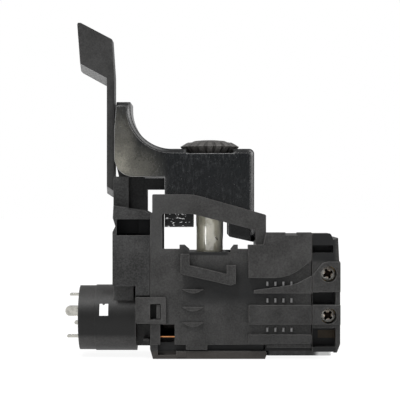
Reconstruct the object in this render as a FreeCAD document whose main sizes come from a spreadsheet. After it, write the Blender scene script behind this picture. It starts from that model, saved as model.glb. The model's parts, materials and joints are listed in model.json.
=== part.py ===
import FreeCAD, Part
import math
import os
from types import SimpleNamespace

# Trigger switch of a hammer drill, seen from its flat side.
# X runs to the right, Z up, Y away from the viewer. The origin lies on the
# plunger's axis, at the underside of the rail that the switch stands on.

V = FreeCAD.Vector
doc = FreeCAD.newDocument("TriggerSwitch")

# Driving sizes in millimetres: alias, value, what it is. A size that follows
# others is a formula on their names.
SIZES = [
    ("half_depth", 12.5, "half the depth of the closed housing"),
    ("wall", 2.2, "wall of the housing mouldings"),
    ("relief", 1.5, "height of the blocks raised on the cover"),
    ("body_left", -18.7, "left side of the rear housing"),
    ("cover_left", -18.0, "left edge of the cover and of its arch"),
    ("cover_right", 31.6, "right edge of the cover"),
    ("body_right", 40.55, "right end of the terminal section"),
    ("floor_level", 4.5, "underside of the body above the rail"),
    ("heel_level", 2.35, "underside of the body over the heat sink"),
    ("deck_level", 33.2, "top of the deck that guides the plunger"),
    ("sill_level", 34.35, "lower edge of the window in the arch"),
    ("shoulder_level", 39.5, "top of the body at the right"),
    ("arch_top", 51.4, "top of the arch at its left"),
    ("arch_end", 45.0, "top of the arch at its right"),
    ("arch_column", 3.1, "width of the arch's left column"),
    ("arch_right", 17.5, "right side of the arch"),
    ("arch_post", 3.3, "width of the arch's right post"),
    ("rail_left", -17.8, "left end of the rail's foot"),
    ("rail_right", 17.2, "right end of the rail's foot"),
    ("rail_half", "=half_depth - 0.6", "half the rail's depth"),
    ("travel", 7.0, "travel of the trigger"),
    ("trigger_half", "=half_depth - wall - 0.4", "half the trigger's width"),
    ("trigger_wall", 1.6, "wall of the trigger"),
    ("trigger_back", -30.0, "back of the trigger, beside the lever"),
    ("trigger_front", 13.95, "front end of the trigger"),
    ("tip_level", 80.4, "top of the trigger's tip"),
    ("tip_right", -24.8, "inner side of the trigger's tip"),
    ("shelf_level", 65.7, "flat top of the trigger"),
    ("grip_round", 13.0, "radius of the finger hollow"),
    ("wing_level", 56.9, "underside of the trigger's back"),
    ("edge_bevel", 1.3, "bevel of the trigger's long edges"),
    ("plunger_radius", 4.35, "radius of the plunger"),
    ("plunger_foot", 22.0, "lower end of the plunger"),
    ("running_fit", 0.08, "radial clearance of a running fit"),
    ("dial_radius", 9.45, "radius of the speed dial"),
    ("dial_height", 4.3, "height of the speed dial"),
    ("dial_seat", 64.25, "level of the dial's seat in the trigger"),
    ("dial_gap", 0.15, "gap under and round the dial"),
    ("dial_flutes", 20, "number of flutes on the dial"),
    ("stem_radius", 1.6, "radius of the dial's stem"),
    ("lever_half", 4.6, "half the width of the lever"),
    ("lever_left", -32.7, "left side of the lever's stalk"),
    ("lever_right", -30.3, "right side of the lever's stalk"),
    ("pivot_level", 52.1, "level of the lever's pivot"),
    ("hub_radius", 4.85, "radius of the lever's hub"),
    ("hub_right", -25.9, "right face of the lever's hub"),
    ("arm_reach", 16.0, "length of the lever's arm under the pivot"),
    ("arm_half", 1.4, "half the width of the lever's arm"),
    ("swing", 12.0, "swing of the lever to each side, degrees"),
    ("pin_radius", 1.5, "radius of the lever's pin"),
    ("neck_left", -30.4, "left side of the neck block"),
    ("neck_top", "=pivot_level - arm_reach + 2.3", "top of the neck block"),
    ("neck_bottom", 19.8, "underside of the neck block beside the drum"),
    ("flange_bottom", 43.6, "underside of the flange"),
    ("flange_top", 47.0, "top of the flange at its left"),
    ("nose_half", 5.6, "half the width of the nose"),
    ("cheek_half", 7.6, "half the width over the cheeks beside the hub"),
    ("cheek_gap", 6.1, "half the room between the cheeks"),
    ("cheek_top", 57.0, "top of the cheeks"),
    ("web_top", 62.0, "top of the web behind the trigger's corner"),
    ("web_half", 3.0, "half the width of the lever's web"),
    ("lever_bevel", 1.9, "bevel under the lever's head and stalk"),
    ("drum_radius", 10.5, "radius of the round connector"),
    ("drum_level", 12.0, "level of the round connector's axis"),
    ("drum_wall", 1.9, "wall of the round connector"),
    ("drum_step", 0.25, "step up to the collar of the round connector"),
    ("collar_left", -36.2, "left edge of the connector's collar"),
    ("drum_left", -41.4, "left face of the round connector"),
    ("drum_right", -23.2, "right face of the round connector"),
    ("screw_radius", 2.25, "radius of the terminal screws' heads"),
    ("terminal_across", 37.0, "place of the terminal screws"),
    ("terminal_upper", 26.5, "level of the upper terminal"),
    ("terminal_lower", 13.45, "level of the lower terminal"),
    ("clamp_half", 2.4, "half the height of a terminal clamp"),
    ("spring_radius", 3.0, "mean radius of the return spring"),
    ("spring_wire", 0.6, "wire of the return spring"),
    ("sink_half", "=half_depth - 2.5", "half the heat sink's depth"),
    ("sink_sheet", 1.5, "thickness of the heat sink"),
    ("screw_level", "=half_depth - 2.5", "level of the terminal screws' heads, towards the viewer"),
]

sheet = doc.addObject("Spreadsheet::Sheet", "Sizes")
for row, (alias, value, note) in enumerate(SIZES, start=1):
    sheet.set("A%d" % row, note)
    sheet.set("B%d" % row, str(value))
    sheet.setAlias("B%d" % row, alias)
doc.recompute()
s = SimpleNamespace(**{alias: sheet.get(alias) for alias, value, note in SIZES})

# Which way a sketch plane looks along the axis that it is measured on.
PLANES = {"XY_Plane": 1, "XZ_Plane": -1, "YZ_Plane": 1}
PARTS = []


def sub_part(label, kind="PartDesign::Body"):
    """Make the object that holds one piece of the switch."""
    obj = doc.addObject(kind, label)
    obj.Label = label
    PARTS.append(obj)
    return obj


def corners(points):
    """Turn corner points (x, y) or (x, y, radius) into lines and arcs."""
    count = len(points)
    ends = []
    for i, point in enumerate(points):
        here = V(point[0], point[1], 0)
        if len(point) == 2 or point[2] <= 0:
            ends.append((here, None, here))
            continue
        before = V(points[i - 1][0], points[i - 1][1], 0) - here
        after = V(points[(i + 1) % count][0], points[(i + 1) % count][1], 0) - here
        half = before.getAngle(after) / 2
        reach = point[2] / math.tan(half)
        start = here + before.normalize() * reach
        end = here + after.normalize() * reach
        centre = here + (before + after).normalize() * (point[2] / math.sin(half))
        middle = centre + (here - centre).normalize() * point[2]
        ends.append((start, middle, end))
    edges = []
    for i, (start, middle, end) in enumerate(ends):
        if middle is not None:
            edges.append(Part.ArcOfCircle(start, middle, end))
        ahead = ends[(i + 1) % count][0]
        if end.distanceToPoint(ahead) > 1e-4:
            edges.append(Part.LineSegment(end, ahead))
    return edges


def disc(x, y, radius):
    """One full circle of a sketch."""
    return [Part.Circle(V(x, y, 0), V(0, 0, 1), radius)]


def box(x0, y0, x1, y1, radius=0):
    """A rectangle of a sketch, with rounded corners if asked."""
    return corners([(x0, y0, radius), (x1, y0, radius), (x1, y1, radius), (x0, y1, radius)])


def sketch(body, plane, offset, loops):
    """Draw closed loops on one of the body's own planes, offset along its normal."""
    drawing = body.newObject("Sketcher::SketchObject", body.Name + "_sketch")
    origin = [f for f in body.Origin.OriginFeatures if f.Role == plane][0]
    drawing.AttachmentSupport = (origin, "")
    drawing.MapMode = "FlatFace"
    drawing.setExpression("AttachmentOffset.Base.z", offset)
    for loop in loops:
        drawing.addGeometry(loop, False)
    return drawing


def pad(body, plane, low, high, *loops):
    """Add material between two levels, given as expressions, along the plane's axis."""
    start = low if PLANES[plane] > 0 else "-(%s)" % high
    feature = body.newObject("PartDesign::Pad", body.Name + "_pad")
    feature.Profile = sketch(body, plane, start, loops)
    feature.setExpression("Length", "(%s) - (%s)" % (high, low))
    doc.recompute()
    return feature


def cut(body, plane, low, high, *loops):
    """Take material away between two levels, given as expressions."""
    start = high if PLANES[plane] > 0 else "-(%s)" % low
    before = body.Shape.Volume
    feature = body.newObject("PartDesign::Pocket", body.Name + "_cut")
    feature.Profile = sketch(body, plane, start, loops)
    feature.setExpression("Length", "(%s) - (%s)" % (high, low))
    doc.recompute()
    if body.Shape.Volume >= before - 1e-6:
        raise RuntimeError("%s: a cut takes nothing away" % body.Label)
    return feature


def dress(body, kind, size_name, wanted):
    """Round or bevel the edges of the body's last feature that a test picks."""
    last = body.Tip
    names = ["Edge%d" % (i + 1) for i, edge in enumerate(last.Shape.Edges) if wanted(edge)]
    feature = body.newObject("PartDesign::" + kind, body.Name + "_" + kind.lower())
    feature.Base = (last, names)
    feature.setExpression("Radius" if kind == "Fillet" else "Size", size_name)
    doc.recompute()
    return feature


# Levels along Y that several pieces share.
FRONT = "-Sizes.half_depth"
FRONT_IN = "-Sizes.half_depth + Sizes.wall"
BACK_IN = "Sizes.half_depth - Sizes.wall"
BACK = "Sizes.half_depth"
RAISED = "-Sizes.half_depth - Sizes.relief"

# The arch: a column at the left, a beam that falls to the right, and a post,
# around a window whose sill has two bumps and a dip over the plunger.
window_left = s.cover_left + s.arch_column
window_right = s.arch_right - s.arch_post
beam = 6.1
bump = 1.3
dip_half = 6.4
step_width = 2.4
far_more = 0.6


def near_window():
    """Outline of the window in the near arch, with its bumps and its dip."""
    sill = s.sill_level
    sill_dip = 1.0
    return corners([
        (window_left, sill),
        (-9.5, sill), (-9.5, sill + bump), (-7.9, sill + bump), (-dip_half, sill),
        (-dip_half, sill - sill_dip), (dip_half, sill - sill_dip), (dip_half, sill),
        (7.4, sill + bump), (8.7, sill + bump), (8.7, sill),
        (window_right - step_width, sill), (window_right - step_width, sill + bump),
        (window_right, sill + bump),
        (window_right, s.arch_end - 4.8, 0.6),
        (-5.6, s.arch_top - beam, 12),
        (window_left, s.arch_top - beam, 0.6),
    ])


def far_window():
    """Outline of the window in the far arch: plain, and wider at the right."""
    return corners([
        (window_left, s.deck_level), (window_right + far_more, s.deck_level),
        (window_right + far_more, s.arch_end - 5.0, 0.6), (-5.6, s.arch_top - beam, 12),
        (window_left, s.arch_top - beam, 0.6),
    ])


def arch_sheet(shoulder, drop, bottom):
    """Outline of the flat wall with the arch on top, from the left edge to the right."""
    return corners([
        (s.body_left + 0.1, s.floor_level),
        (s.body_left + 0.1, s.arch_end + 0.2),
        (s.cover_left, s.arch_end + 0.7),
        (s.cover_left, s.arch_top - drop, 0.5),
        (-5.2, s.arch_top - drop, 20),
        (s.arch_right, s.arch_end - drop, 0.6),
        (s.arch_right, shoulder),
        (s.cover_right, shoulder),
        (s.cover_right, bottom),
        (s.arch_right + 0.2, bottom), (s.arch_right + 0.2, s.floor_level),
    ])


# Rear housing: a deep moulding that is open to the front. It holds the deck
# that guides the plunger, the rear arch, the rail and the terminal section.
cavity_left = s.body_left + s.wall
cavity_right = s.cover_right - s.wall
cavity_floor = s.floor_level + 2
cavity_top = s.deck_level - 2.5
bore_radius = s.plunger_radius + s.running_fit
skirt_gap = 0.5
skirt_left = 5.7
inner_half = s.half_depth - s.wall

rear = sub_part("rear_housing")
far_shoulder = s.shoulder_level - 0.8
pad(rear, "XZ_Plane", FRONT_IN, BACK_IN, corners([
    (s.body_left, s.floor_level),
    (s.body_left, s.deck_level),
    (s.trigger_front + skirt_gap, s.deck_level),
    (s.trigger_front + skirt_gap, far_shoulder),
    (s.cover_right, far_shoulder),
    (s.cover_right, s.heel_level),
    (s.rail_right, s.heel_level),
    (s.rail_right, s.floor_level),
]))
pad(rear, "XZ_Plane", BACK_IN, BACK, arch_sheet(far_shoulder, 0.4, s.heel_level), far_window())
cut(rear, "XZ_Plane", FRONT_IN, BACK_IN, corners([
    (cavity_left, cavity_floor),
    (cavity_left, cavity_top, 1),
    (s.trigger_front + skirt_gap + s.wall, cavity_top),
    (s.trigger_front + skirt_gap + s.wall, far_shoulder - s.wall, 1),
    (cavity_right, far_shoulder - s.wall, 1),
    (cavity_right, cavity_floor),
]))
cut(rear, "XY_Plane", "Sizes.deck_level - 3", "Sizes.deck_level",
    box(skirt_left - skirt_gap, -inner_half, s.trigger_front + skirt_gap, inner_half))
pad(rear, "XY_Plane", "Sizes.deck_level - 9", "Sizes.deck_level", disc(0, 0, bore_radius + 1.7))
cut(rear, "XY_Plane", "Sizes.deck_level - 9", "Sizes.deck_level", disc(0, 0, bore_radius))
rail_top = 2.5
pad(rear, "XZ_Plane", "-Sizes.rail_half", "Sizes.rail_half", corners([
    (s.rail_left, 0), (s.rail_left - 0.9, rail_top + 0.6), (s.rail_left - 0.9, s.floor_level),
    (s.rail_left + 1.5, s.floor_level), (s.rail_left + 1.5, rail_top),
    (s.rail_right + 0.2, rail_top), (s.rail_right + 0.5, 1.3), (s.rail_right, 0)]))
pad(rear, "XZ_Plane", "-Sizes.rail_half + 1.6", "Sizes.rail_half - 1.6",
    box(s.rail_left + 1, rail_top - 0.5, s.rail_right - 0.4, s.floor_level + 0.5))
cut(rear, "XZ_Plane", "-Sizes.rail_half", "-Sizes.rail_half + 2", box(-16.3, 1.2, -10.6, rail_top + 0.1))
pad(rear, "XZ_Plane", "-Sizes.rail_half - 0.3", "-Sizes.rail_half + 0.5", box(-10.4, 0.7, -7.5, rail_top))

cut(rear, "XZ_Plane", FRONT_IN, FRONT_IN + " + 3", box(-15.5, s.floor_level + 0.6, -11.0, cavity_floor + 0.5))

terminal_gap = 0.2
for near, far, top in ((RAISED + " + 1", "-6", s.shoulder_level - 0.3), ("-6", BACK, far_shoulder)):
    pad(rear, "XZ_Plane", near, far, corners([
        (s.cover_right + terminal_gap, s.heel_level),
        (s.cover_right + terminal_gap, top, 0.4),
        (37.6, top, 0.8), (38.4, 37.2), (39.9, 37.8),
        (s.body_right - 0.3, 30.6), (s.body_right, 30.4),
        (s.body_right, 4.8), (39.5, 2.1), (38.5, 2.1), (38.5, s.heel_level),
    ]))
pad(rear, "XZ_Plane", FRONT_IN, BACK,
    box(s.cover_right - 0.5, s.heel_level, s.cover_right + 0.5, far_shoulder))
pad(rear, "XZ_Plane", RAISED, FRONT, corners([
    (s.cover_right + terminal_gap, 20.6), (s.cover_right + terminal_gap, 26.0),
    (35.1, 30.0, 1.5), (36.8, 30.4), (s.body_right, 30.3, 0.4),
    (s.body_right, 21.1), (39.1, 21.1), (33.7, 21.1), (33.7, 20.6),
]))
pad(rear, "XZ_Plane", RAISED, FRONT,
    box(s.cover_right + terminal_gap, 10.9, s.body_right, 16.9))
POCKETS = [(31.9, 17.0, 39.1, 20.9), (31.9, 3.8, 39.1, 9.7), (31.9, 33.2, 38.4, 35.5)]
for left, low, right, high in POCKETS:
    cut(rear, "XZ_Plane", RAISED, FRONT + " + 4.5", box(left, low, right, high))
clamp_left = s.terminal_across - 3.4
clamp_right = s.terminal_across + 2.4
clamp_near = 2 - s.screw_level
clamp_far = clamp_near + 6.0
entry_depth = clamp_near + 3.0
entry_radius = 1.7
for level in (s.terminal_upper, s.terminal_lower):
    cut(rear, "XZ_Plane", RAISED, "%g" % clamp_near, disc(s.terminal_across, level, s.screw_radius + 0.25))
    cut(rear, "XZ_Plane", "%g" % clamp_near, "%g" % (clamp_far + 0.1), box(
        clamp_left - 0.1, level - s.clamp_half - 0.1, clamp_right + 0.1, level + s.clamp_half + 0.1))
    cut(rear, "YZ_Plane", "Sizes.terminal_across + 2", "Sizes.body_right", disc(entry_depth, level, entry_radius))
    cut(rear, "YZ_Plane", "Sizes.cover_right - Sizes.wall - 1", "Sizes.terminal_across - 3", box(
        entry_depth - 1.6, level - 0.5, entry_depth + 1.6, level + 0.5))

# Front cover: a flat plate with the front arch, closed over the housing. It
# carries a hook for wires, three ribs and the raised blocks at the right.
cover = sub_part("front_cover")
pad(cover, "XZ_Plane", FRONT, FRONT_IN,
    arch_sheet(s.shoulder_level, 0, s.heel_level + 1.2), near_window())
cut(cover, "XZ_Plane", FRONT, FRONT_IN, box(23.5, s.shoulder_level - 0.9, 27.1, s.shoulder_level + 1))
pad(cover, "XZ_Plane", RAISED, FRONT, corners([
    (12.0, 25.4),
    (12.0, 35.65),
    (s.arch_right - 0.9, 35.65), (s.arch_right, s.shoulder_level - 0.05),
    (23.5, s.shoulder_level - 0.05), (23.5, s.shoulder_level - 0.9),
    (27.1, s.shoulder_level - 0.9), (27.1, s.shoulder_level - 0.05),
    (s.cover_right, s.shoulder_level - 0.05),
    (s.cover_right, 30.9),
    (24.6, 25.4, 14),
]))
pad(cover, "XZ_Plane", RAISED, FRONT, corners([
    (13.7, 20.6), (13.7, 21.5), (20.0, 22.4, 8), (26.6, 23.3, 8), (s.cover_right, 26.0),
    (s.cover_right, 20.6),
]))
pad(cover, "XZ_Plane", RAISED, FRONT, box(12.1, 10.9, s.cover_right, 16.9))
pad(cover, "XZ_Plane", RAISED, FRONT, box(12.0, s.floor_level + 0.5, s.cover_right, 7.75))
pad(cover, "XZ_Plane", RAISED + " - 0.6", FRONT, corners([
    (-9.1, 32.75), (-6.4, 32.75), (-6.4, 29.3), (5.2, 26.6), (5.2, 29.3), (8.0, 29.3),
    (8.0, 23.7), (6.5, 23.1), (-8.5, 26.5), (-9.1, 27.1),
]))
rib_tops = (21.8, 16.25, 11.4)
for top in rib_tops:
    pad(cover, "XZ_Plane", FRONT + " - 0.9", FRONT, corners([
        (-8.6, top), (-1.9, top), (-5.25, top - 1.7, 4.0)]))
fin_pitch = 2.5
fin_first = 17.85
for level in (22.9, 17.7, 8.6):
    pad(cover, "XZ_Plane", FRONT + " - 0.9", FRONT, *[
        box(fin_first + i * fin_pitch - 0.3, level, fin_first + i * fin_pitch + 0.3, level + 1.3)
        for i in range(4)])
pad(cover, "XZ_Plane", FRONT, FRONT_IN, box(-7.5, 2.9, -0.8, s.floor_level + 0.5))
cut(cover, "XZ_Plane", FRONT, FRONT_IN, box(-15.5, s.floor_level - 1, -11.0, 10.8))
cut(cover, "XZ_Plane", FRONT, FRONT_IN, box(s.body_left - 1, 12.5, -16.7, 17.2))
catch_left = -16.6
pad(cover, "XZ_Plane", RAISED + " + 0.5", FRONT, box(catch_left, 12.7, catch_left + 1.1, 17.0))

# Reversing housing: the neck block beside the body, with a flange on a post
# above it and a nose that holds the lever's pin.
neck_right = s.body_left - 0.1
nose_left = s.hub_right + 0.3
nose_right = -20.0
bar_right = -14.4
bar_top = s.wing_level - 0.3
slot_left = -29.1
arm_left = slot_left + 0.3
arm_right = arm_left + 2.0
arm_clear = 0.6
swing = math.radians(s.swing)
arm_side = s.arm_reach * math.sin(swing) + s.arm_half + arm_clear
arm_end = s.pivot_level - s.arm_reach
slot_floor = arm_end - 1.2
saddle = s.drum_level + s.drum_radius + 0.25
neck = sub_part("reversing_housing")
pad(neck, "XZ_Plane", FRONT, BACK, corners([
    (s.neck_left, saddle), (s.neck_left, s.neck_top + 1.2, 0.5),
    (slot_left - 0.4, s.neck_top + 3.0, 0.3), (s.neck_left + 0.1, s.flange_bottom + 0.4, 0.4),
    (s.neck_left + 0.3, s.flange_top + 0.8),
    (-26.2, s.flange_top + 0.2), (-20.4, s.flange_top - 0.8), (neck_right, s.flange_top - 1.7),
    (neck_right, s.neck_bottom), (s.drum_right, s.neck_bottom), (s.drum_right, saddle),
]))
cut(neck, "XZ_Plane", FRONT, BACK + " - 3.5",
    box(slot_left, s.neck_top + 0.2, neck_right + 1, s.flange_bottom))
pad(neck, "XZ_Plane", FRONT + " + 3", BACK + " - 3",
    box(-22.3, s.neck_top, neck_right, s.flange_bottom + 0.2))
pad(neck, "XZ_Plane", FRONT + " + 4.6", FRONT + " + 6",
    box(slot_left - 0.3, s.neck_top, neck_right, s.flange_bottom + 0.2))
pad(neck, "XZ_Plane", "-Sizes.cheek_half", "Sizes.cheek_half",
    box(s.neck_left, 45, nose_left, s.cheek_top))
pad(neck, "XZ_Plane", "-Sizes.nose_half", "Sizes.nose_half", corners([
    (nose_left - 0.1, 45), (nose_left - 0.1, s.cheek_top + 0.3), (nose_right - 1, s.cheek_top + 0.3),
    (nose_right - 1, bar_top), (bar_right, bar_top), (bar_right, 52.9), (nose_right, 52.9), (nose_right, 45),
]))
cut(neck, "XZ_Plane", "-Sizes.cheek_gap", "Sizes.cheek_gap",
    box(s.neck_left - 0.5, s.pivot_level - s.hub_radius - 0.35, nose_left, s.cheek_top + 1))
cut(neck, "YZ_Plane", "%g" % slot_left, "%g" % (arm_right + 0.4), corners([
    (-arm_side, slot_floor), (arm_side, slot_floor),
    (s.arm_half + 2.6, s.flange_top + 1), (-s.arm_half - 2.6, s.flange_top + 1)]))
slider_half = 6.4
slider_low = arm_end - 8.7
slide_span = s.arm_reach * swing
slider_left = slot_left + 0.4
slider_right = -21.4
cut(neck, "XZ_Plane", "-%g" % (slider_half + slide_span + 0.5), "%g" % (slider_half + slide_span + 0.5),
    box(slot_left, slider_low - 0.3, -21.1, s.neck_top + 0.5))
cut(neck, "YZ_Plane", "%g" % (s.hub_right - 0.1), "Sizes.hub_right + 5.5", disc(0, s.pivot_level, s.pin_radius))

# Round connector: a drum with a bevelled lower edge and a square window
# through it, joined to the body by a foot and two latch arms.
window_x = -33.35
window_z = 15.1
window_half = 1.45
window_tall = 1.9
drum = sub_part("connector_drum")
pad(drum, "YZ_Plane", "Sizes.drum_left", "Sizes.collar_left", disc(0, s.drum_level, s.drum_radius - s.drum_step))
pad(drum, "YZ_Plane", "Sizes.collar_left", "Sizes.drum_right", disc(0, s.drum_level, s.drum_radius))
cut(drum, "YZ_Plane", "Sizes.drum_left", "Sizes.drum_left + 0.8",
    disc(0, s.drum_level, s.drum_radius - 1.4))
cut(drum, "YZ_Plane", "Sizes.drum_left + 2.8", "Sizes.drum_right - Sizes.drum_wall",
    disc(0, s.drum_level, s.drum_radius - s.drum_wall))
cut(drum, "XZ_Plane", "-Sizes.drum_radius - 1", "0", corners([
    (window_x - window_half, window_z - window_tall), (window_x + window_half, window_z - window_tall),
    (window_x + window_half, window_z + window_tall), (window_x + 0.5, window_z + window_tall),
    (window_x, window_z + window_tall - 0.5), (window_x - 0.5, window_z + window_tall),
    (window_x - window_half, window_z + window_tall)]))
cut(drum, "XZ_Plane", "0", "Sizes.drum_radius + 1", box(
    window_x - 3.4, window_z - 4.3, window_x + 0.9, window_z + 1.0, 0.4))
saddle_low = s.drum_level + 6
saddle_near = "-%g" % math.sqrt(s.drum_radius ** 2 - (saddle_low - s.drum_level) ** 2)
pad(drum, "XZ_Plane", saddle_near, "0", box(s.neck_left + 0.1, saddle_low, s.drum_right - 0.8, saddle - 0.05))
pad(drum, "XZ_Plane", FRONT + " + 2", FRONT + " + 9", box(-20.8, 5.4, -19.0, 6.2))
pad(drum, "XZ_Plane", FRONT + " + 8", BACK + " - 4", corners([
    (s.drum_right - 1, 3.4), (s.drum_right - 1, s.neck_bottom - 0.1), (neck_right, s.neck_bottom - 0.1),
    (neck_right, 3.4),
]))
latch_top = 19.4
latch_low = 11.2
pad(drum, "XZ_Plane", RAISED, FRONT + " - 0.1",
    box(-23.1, latch_low, -13.7, latch_top, 0.3), box(-18.6, 12.4, -15.3, 17.3))
pad(drum, "XZ_Plane", FRONT + " - 0.1", FRONT + " + 5",
    box(s.drum_right, latch_low, neck_right - 0.6, latch_top))

# Trigger: a hollow moulding with a finger hollow, a tip beside the lever, a
# seat for the dial, and two skirts that enter the body.
skirt_low = 36.35
skirt_mid = 47.0
body_back = -14.2
box_right = -5.1
box_low = 41.1
trigger = sub_part("trigger")
pad(trigger, "XZ_Plane", "-Sizes.trigger_half", "Sizes.trigger_half", corners([
    (s.trigger_back, 71.5), (s.trigger_back + 0.7, s.tip_level),
    (s.tip_right - 0.2, s.tip_level),
    (s.tip_right, s.shelf_level, s.grip_round),
    (s.trigger_front, s.shelf_level, 1.6),
    (s.trigger_front, skirt_low), (skirt_left, skirt_low + 1.8, 0.9),
    (skirt_left, skirt_mid, 0.5), (box_right, skirt_mid, 0.5), (box_right, box_low),
    (body_back, box_low), (body_back, s.wing_level),
    (s.trigger_back, s.wing_level, 6),
]))
dress(trigger, "Chamfer", "Sizes.edge_bevel", lambda edge: (
    abs(abs(edge.CenterOfMass.y) - s.trigger_half) < 0.01
    and (edge.BoundBox.ZMin > s.shelf_level - 2 or edge.BoundBox.XMin > s.trigger_front - 1.5)
    and edge.BoundBox.XMin > s.trigger_back + 0.6))
roof = s.dial_seat - s.trigger_wall
cut(trigger, "XZ_Plane", "-Sizes.trigger_half + Sizes.trigger_wall",
    "Sizes.trigger_half - Sizes.trigger_wall", corners([
        (s.trigger_back + s.trigger_wall, 58),
        (s.trigger_back + s.trigger_wall, s.shelf_level + 9),
        (s.tip_right - s.trigger_wall, s.shelf_level + 9),
        (s.tip_right - s.trigger_wall, s.shelf_level - s.trigger_wall, 9),
        (-s.dial_radius - 1.3, s.shelf_level - s.trigger_wall),
        (-s.dial_radius - 1.3, roof),
        (s.trigger_front - s.trigger_wall, roof, 1),
        (s.trigger_front - s.trigger_wall, 30),
        (body_back + s.trigger_wall, 30),
        (body_back + s.trigger_wall, 50),
        (body_back - 2, 50),
        (body_back - 2, s.wing_level - 0.5), (s.trigger_back + 3.5, s.wing_level - 0.5)]))
back_slot = s.cheek_half + 0.4
cut(trigger, "YZ_Plane", "Sizes.trigger_back - 1", "Sizes.trigger_back + 4",
    box(-back_slot, s.wing_level - 2, back_slot, s.web_top + s.travel + 1.0))
boss_radius = s.plunger_radius + 1.5
pad(trigger, "XY_Plane", "Sizes.wing_level - 2", "Sizes.dial_seat - Sizes.trigger_wall + 0.2",
    disc(0, 0, boss_radius))
cut(trigger, "XY_Plane", "Sizes.wing_level - 2", "Sizes.dial_seat - Sizes.trigger_wall - 1",
    disc(0, 0, s.plunger_radius))
cut(trigger, "XY_Plane", "Sizes.dial_seat", "Sizes.shelf_level + 5",
    disc(0, 0, s.dial_radius + 0.3))
notch_half = 7.4
cut(trigger, "XY_Plane", "Sizes.dial_seat", "Sizes.shelf_level + 5",
    box(-notch_half, -s.trigger_half - 1, notch_half, s.trigger_half + 1))
cut(trigger, "XY_Plane", "Sizes.dial_seat - Sizes.trigger_wall - 2", "Sizes.dial_seat + 1",
    disc(0, 0, s.stem_radius + s.running_fit))

# Plunger: the ivory rod pressed into the trigger, bored from the top for the
# dial's stem.
plunger = sub_part("plunger")
pad(plunger, "XY_Plane", "Sizes.plunger_foot", "Sizes.dial_seat - Sizes.trigger_wall - 1",
    disc(0, 0, s.plunger_radius))
cut(plunger, "XY_Plane", "Sizes.dial_seat - 14", "Sizes.dial_seat",
    disc(0, 0, s.stem_radius + s.running_fit + 0.6))

# Speed dial: a fluted wheel that is widest at a third of its height, lofted
# between three fluted outlines, with a low domed cap.
dial = sub_part("speed_dial")
flutes = int(s.dial_flutes)
rim = s.dial_radius
flute_share = 0.91
dial_low = s.dial_seat + s.dial_gap
dial_high = dial_low + s.dial_height
rim_level = dial_low + 0.51 * s.dial_height
cap_level = dial_high - 0.18 * s.dial_height
cap_radius = rim - 3.3


def fluted(radius):
    """Outline of the wheel: broad ribs with narrower flutes between them."""
    points = []
    for number in range(flutes):
        for turn, reach in ((-0.26, radius), (0.26, radius), (0.38, radius * flute_share),
                            (0.62, radius * flute_share)):
            angle = 2 * math.pi * (number + turn) / flutes
            points.append((reach * math.cos(angle), reach * math.sin(angle)))
    return corners(points)


outlines = [sketch(dial, "XY_Plane", "%g" % level, [fluted(radius)]) for level, radius in (
    (dial_low, rim - 1.9), (rim_level, rim), (cap_level, rim - 2.2))]
wheel = dial.newObject("PartDesign::AdditiveLoft", "dial_wheel")
wheel.Profile = outlines[0]
wheel.Sections = outlines[1:]
wheel.Ruled = True
doc.recompute()
profile = sketch(dial, "XZ_Plane", "0", [corners([
    (0, rim_level), (cap_radius, rim_level), (cap_radius, cap_level), (rim - 4.6, dial_high - 0.2),
    (rim - 7, dial_high), (0, dial_high),
])])
cap = dial.newObject("PartDesign::Revolution", "dial_cap")
cap.Profile = profile
cap.ReferenceAxis = (profile, ["V_Axis"])
cap.Angle = 360
doc.recompute()

# Dial stem: turns with the dial and ends in the speed stop inside the plunger.
stem = sub_part("dial_stem")
pad(stem, "XY_Plane", "Sizes.dial_seat - 11", "Sizes.dial_seat + Sizes.dial_gap",
    disc(0, 0, s.stem_radius))

# Reversing lever: flag head, stalk, hub on the pin, and the arm below it.
lever = sub_part("reversing_lever")
head_low = 86.15
head_left = -41.0
head_rise = 4.55
foot_level = s.pivot_level - 0.4
foot_drop = 2.1
pad(lever, "XZ_Plane", "-Sizes.lever_half", "Sizes.lever_half", corners([
    (s.lever_left, foot_level), (s.lever_left, head_low), (head_left, head_low + head_rise),
    (-42.1, 105.4), (-41.9, 105.9), (-41.0, 105.9), (-31.1, 100.7),
    (s.lever_right, 88.7), (s.lever_right, s.pivot_level + 3),
    (s.lever_right + 0.8, s.pivot_level + 3), (s.lever_right + 0.8, foot_level - foot_drop),
]))
dress(lever, "Chamfer", "Sizes.lever_bevel", lambda edge: (
    abs(edge.CenterOfMass.y + s.lever_half) < 0.01
    and (abs(edge.CenterOfMass.z - head_low - head_rise / 2) < 0.1
         or abs(edge.CenterOfMass.z - foot_level + foot_drop / 2) < 0.1)))
pad(lever, "YZ_Plane", "Sizes.neck_left + 0.1", "Sizes.hub_right", corners([
    (-s.hub_radius + 0.3, s.pivot_level - s.hub_radius, 4.2),
    (s.hub_radius - 0.3, s.pivot_level - s.hub_radius, 4.2),
    (s.hub_radius - 0.3, s.pivot_level + s.hub_radius, 1.0),
    (-s.hub_radius + 0.3, s.pivot_level + s.hub_radius, 1.0)]))
pad(lever, "XZ_Plane", "-Sizes.web_half", "Sizes.web_half", corners([
    (s.lever_right - 0.5, s.web_top), (s.lever_right + 0.4, s.web_top - 0.8),
    (s.lever_right + 1.5, s.pivot_level + s.hub_radius - 0.5),
    (s.hub_right, s.pivot_level + s.hub_radius - 0.5), (s.hub_right, s.web_top)]))
pad(lever, "XZ_Plane", "-Sizes.arm_half", "Sizes.arm_half",
    box(arm_left, s.pivot_level - s.arm_reach, arm_right, s.pivot_level))
cut(lever, "YZ_Plane", "Sizes.hub_right - 3", "Sizes.hub_right",
    disc(0, s.pivot_level, s.pin_radius + s.running_fit))

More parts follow.
